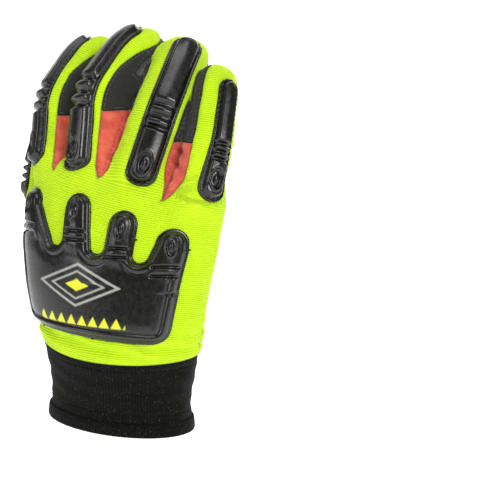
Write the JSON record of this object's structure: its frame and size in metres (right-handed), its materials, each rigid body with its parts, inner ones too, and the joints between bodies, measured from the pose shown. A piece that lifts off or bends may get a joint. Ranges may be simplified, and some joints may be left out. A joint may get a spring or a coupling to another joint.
{
  "type": "anti-vibration glove",
  "caption": "Right-hand anti-vibration work glove in fluorescent knit with moulded rubber guards over the fingers and the back, padded palm and dark knit cuff.",
  "frame": {"origin": "centre of the wrist opening, in the plane of the cuff's lower edge", "axes": "+Z from the wrist opening to the fingertips, -Y out of the back of the hand, +Y out of the palm, +X towards the little finger and -X towards the thumb"},
  "size_m": [0.1434, 0.1016, 0.2355],
  "materials": {
    "lime_knit": "matte fluorescent knit",
    "moulded_rubber": "satin moulded",
    "black_mesh": "matte mesh",
    "coral_fabric": "matte",
    "black_leather": "fine grain",
    "cuff_knit": "matte dense knit",
    "lime_tape": "woven tape"
  },
  "bodies": {
    "root": {"back_panel": "lime_knit", "index_back_strip": "lime_knit", "middle_back_strip": "lime_knit", "ring_back_strip": "lime_knit", "pinky_back_strip": "lime_knit", "palm_panel": "lime_knit", "index_front_strip": "lime_knit", "middle_front_strip": "lime_knit", "ring_front_strip": "lime_knit", "pinky_front_strip": "lime_knit", "thumb_back_panel": "lime_knit", "thumb_front_panel": "lime_knit", "index_middle_crotch_patch": "coral_fabric", "index_side_to_middle": "black_mesh", "middle_side_to_index": "black_mesh", "middle_ring_crotch_patch": "coral_fabric", "middle_side_to_ring": "black_mesh", "ring_side_to_middle": "black_mesh", "ring_pinky_crotch_patch": "coral_fabric", "ring_side_to_pinky": "black_mesh", "pinky_side_to_ring": "black_mesh", "index_side_panel": "black_leather", "little_side_panel": "black_leather", "thumb_side_strip": "black_leather", "palm_pad": "black_leather", "upper_palm_pad": "black_leather", "index_tip_cap": "black_leather", "middle_tip_cap": "black_leather", "ring_tip_cap": "black_leather", "pinky_tip_cap": "black_leather", "thumb_tip_cap": "black_leather", "index_guard": "moulded_rubber", "middle_guard": "moulded_rubber", "ring_guard": "moulded_rubber", "pinky_guard": "moulded_rubber", "thumb_guard": "moulded_rubber", "back_plate": "moulded_rubber", "cuff": "cuff_knit", "cuff_binding": "cuff_knit", "closure_strap": "cuff_knit", "pull_loop": "lime_tape"}
  },
  "joints": []
}
